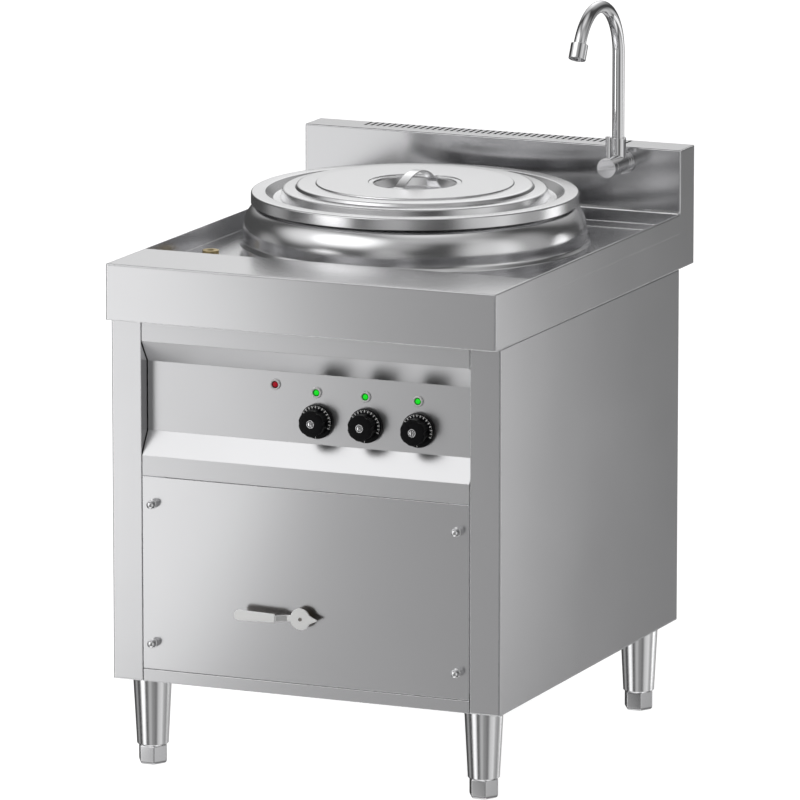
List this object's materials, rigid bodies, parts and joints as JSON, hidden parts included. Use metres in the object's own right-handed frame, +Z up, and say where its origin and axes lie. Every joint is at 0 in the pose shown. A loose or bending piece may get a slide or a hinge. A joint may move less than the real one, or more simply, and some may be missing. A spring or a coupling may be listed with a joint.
{
  "type": "noodle boiler",
  "caption": "Floor-standing electric noodle boiler: round pot under a lid in a sunk tray on a steel cabinet, with control knobs, a drain lever and a swan-neck tap",
  "frame": {"origin": "on the floor under the middle of the worktop", "axes": "+Z up, the front with the knobs faces -Y, +X to the right of someone who stands in front"},
  "size_m": [0.653, 0.8194, 1.1525],
  "materials": {
    "brushed_steel": "brushed",
    "galvanised": "plain sheet",
    "polished_steel": "polished",
    "element_steel": "heat-stained",
    "chrome": "mirror",
    "brass": "satin",
    "pipe_steel": "plain",
    "black_plastic": "gloss",
    "grey_plastic": "matte",
    "green_lens": "clear lens",
    "red_lens": "clear lens"
  },
  "bodies": {
    "cabinet": {"worktop": "brushed_steel", "splashback": "brushed_steel", "tray_supports": "galvanised", "side_panel_left": "brushed_steel", "side_panel_right": "brushed_steel", "back_panel": "brushed_steel", "base_pan": "brushed_steel", "base_rails": "galvanised", "control_fascia": "brushed_steel", "access_panel": "brushed_steel", "mounting_strips": "galvanised", "cap_nuts": "polished_steel", "legs": "polished_steel", "drum": "polished_steel", "pot": "polished_steel", "heating_elements": "element_steel", "thermostats": "grey_plastic", "lamp_bezels": "chrome", "green_lamps": "green_lens", "red_lamp": "red_lens", "drain_pipe": "pipe_steel", "outlet_pipe": "pipe_steel", "valve_body": "brass", "tap_body": "chrome", "tap_back_nut": "brass", "tray_drain": "brass", "electrics_plate": "galvanised", "contactors": "grey_plastic", "terminal_block": "grey_plastic", "cable_gland": "black_plastic"},
    "lid": {"lid": "polished_steel", "lid_handle": "polished_steel"},
    "knob_left": {"knob_left": "black_plastic"},
    "knob_middle": {"knob_middle": "black_plastic"},
    "knob_right": {"knob_right": "black_plastic"},
    "drain_valve": {"valve_plug": "brass", "drain_lever": "polished_steel"},
    "tap_lever": {"tap_handle": "chrome"},
    "spout": {"spout": "chrome", "aerator": "chrome"},
    "foot_front_left": {"foot_front_left": "polished_steel"},
    "foot_front_right": {"foot_front_right": "polished_steel"},
    "foot_back_left": {"foot_back_left": "polished_steel"},
    "foot_back_right": {"foot_back_right": "polished_steel"}
  },
  "joints": [
    {"name": "lid_lift", "type": "slide", "parent": "cabinet", "child": "lid", "axis": [0, 0, 1], "range_m": [0, 0.15]},
    {"name": "knob_left_turn", "type": "hinge", "parent": "cabinet", "child": "knob_left", "pos_m": [0.0125, -0.3648, 0.5718], "axis": [0, 1, 0], "range_deg": [0, 270]},
    {"name": "knob_middle_turn", "type": "hinge", "parent": "cabinet", "child": "knob_middle", "pos_m": [0.0945, -0.3648, 0.5718], "axis": [0, 1, 0], "range_deg": [0, 270]},
    {"name": "knob_right_turn", "type": "hinge", "parent": "cabinet", "child": "knob_right", "pos_m": [0.182, -0.3648, 0.5718], "axis": [0, 1, 0], "range_deg": [0, 270]},
    {"name": "drain_valve_turn", "type": "hinge", "parent": "cabinet", "child": "drain_valve", "pos_m": [-0.0017, -0.3426, 0.266], "axis": [0, -1, 0], "range_deg": [0, 90]},
    {"name": "tap_lever_turn", "type": "hinge", "parent": "cabinet", "child": "tap_lever", "pos_m": [0.2305, 0.2755, 0.8797], "axis": [0, 1, 0], "range_deg": [0, 90]},
    {"name": "spout_swivel", "type": "hinge", "parent": "cabinet", "child": "spout", "pos_m": [0.2305, 0.319, 0.9], "axis": [0, 0, 1], "range_deg": [-180, 180]},
    {"name": "foot_front_left_screw", "type": "slide", "parent": "cabinet", "child": "foot_front_left", "axis": [0, 0, -1], "range_m": [0, 0.025]},
    {"name": "foot_front_right_screw", "type": "slide", "parent": "cabinet", "child": "foot_front_right", "axis": [0, 0, -1], "range_m": [0, 0.025]},
    {"name": "foot_back_left_screw", "type": "slide", "parent": "cabinet", "child": "foot_back_left", "axis": [0, 0, -1], "range_m": [0, 0.025]},
    {"name": "foot_back_right_screw", "type": "slide", "parent": "cabinet", "child": "foot_back_right", "axis": [0, 0, -1], "range_m": [0, 0.025]}
  ]
}
